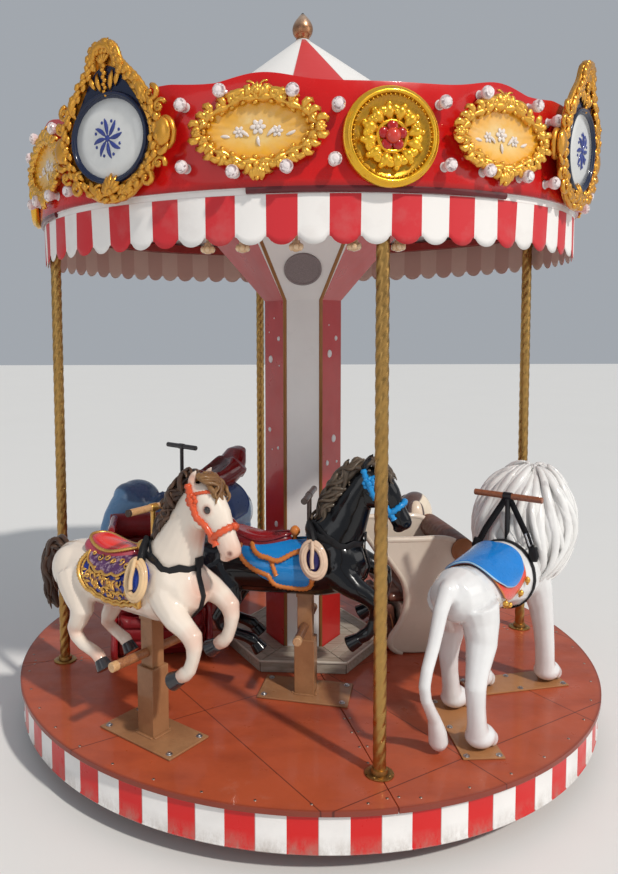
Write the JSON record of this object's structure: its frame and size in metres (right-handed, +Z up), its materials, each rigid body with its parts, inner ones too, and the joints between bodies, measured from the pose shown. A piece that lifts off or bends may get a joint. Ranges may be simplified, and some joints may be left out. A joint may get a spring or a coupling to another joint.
{
  "type": "fairground carousel",
  "caption": "Small children's carousel: a turning round deck with horses, a lion, an elephant and benches under a tented roof on brass poles.",
  "frame": {"origin": "on the turning axis at ground level, in the middle of the four feet's undersides", "axes": "+Z up along the turning axis; -Y is the front, between the cream horse and the lion as pictured; +X to the right"},
  "size_m": [2.5998, 2.5998, 3.155],
  "materials": {
    "frame_black": "satin black paint",
    "bearing_steel": "machined steel",
    "skirt_paint": "gloss white with upright red stripes, road dirt near the bottom",
    "deck_red": "painted dark red-brown, scuffed satin",
    "plinth_boards": "weathered grey boards",
    "column_paint": "gloss white and red faces with brown-gold trims",
    "speaker_mesh": "dark grey mesh",
    "roof_red": "dark red paint",
    "tent_cloth": "coated tent cloth, white with red gores",
    "finial_copper": "copper-bronze paint",
    "valance_cloth": "coated cloth, red and white tongues with a white braid",
    "pole_brass": "twisted, dull polished",
    "gold_moulding": "moulded relief in gold paint",
    "board_red": "moulded relief, red ground with gold and painted panels",
    "cream_gloss": "gloss cream",
    "black_gloss": "gloss black",
    "saddle_red": "gloss orange-red with a gold rim, blue cloth with braid",
    "saddle_maroon": "gloss maroon, blue cloth with braid",
    "pale_wood": "varnished",
    "bronze_paint": "bronze-brown paint, worn",
    "lion_white": "gloss white with grey-streaked mane",
    "lion_blue": "gloss azure with orange-red edge and gold bells",
    "brown_wood": "varnished brown",
    "elephant_blue": "gloss light blue",
    "brown_leather": "red-brown leather cloth padding",
    "bench_maroon": "gloss maroon",
    "maroon_leather": "maroon leather cloth padding",
    "puppy_cream": "gloss cream with grey-brown patches"
  },
  "bodies": {
    "base": {"ground_frame": "frame_black", "slew_bearing": "bearing_steel"},
    "rotor": {"turntable_frame": "frame_black", "skirt": "skirt_paint", "plinth": "plinth_boards", "column": "column_paint", "column_flare": "column_paint", "speaker_grille": "speaker_mesh", "roof_frame": "roof_red", "tent_canopy": "tent_cloth", "finial": "finial_copper", "valance": "valance_cloth", "deck_panel_1": "deck_red", "deck_panel_2": "deck_red", "deck_panel_3": "deck_red", "deck_panel_4": "deck_red", "pole_1": "pole_brass", "medallion_1": "gold_moulding", "shield_1": "gold_moulding", "rounding_board_1": "board_red", "pole_2": "pole_brass", "medallion_2": "gold_moulding", "shield_2": "gold_moulding", "rounding_board_2": "board_red", "pole_3": "pole_brass", "medallion_3": "gold_moulding", "shield_3": "gold_moulding", "rounding_board_3": "board_red", "pole_4": "pole_brass", "medallion_4": "gold_moulding", "shield_4": "gold_moulding", "rounding_board_4": "board_red", "cream_horse": "cream_gloss", "cream_horse_saddle": "saddle_red", "cream_horse_handle": "pale_wood", "cream_horse_stand": "bronze_paint", "cream_horse_footrest": "pale_wood", "black_horse": "black_gloss", "black_horse_saddle": "saddle_maroon", "black_horse_handle": "pale_wood", "black_horse_stand": "bronze_paint", "black_horse_footrest": "pale_wood", "lion": "lion_white", "lion_blanket": "lion_blue", "lion_handle": "brown_wood", "lion_plate_rear": "bronze_paint", "lion_plate_front": "bronze_paint", "elephant": "elephant_blue", "elephant_saddle": "saddle_maroon", "elephant_handle": "frame_black", "cream_bench_shell": "cream_gloss", "cream_bench_cushion": "brown_leather", "cream_bench_roll": "brown_leather", "red_bench_shell": "bench_maroon", "red_bench_cushion": "maroon_leather", "red_bench_roll": "maroon_leather", "puppy": "puppy_cream"}
  },
  "joints": [
    {"name": "platform_spin", "type": "hinge", "parent": "base", "child": "rotor", "pos_m": [0, 0, 0.1], "axis": [0, 0, 1], "continuous": true}
  ]
}
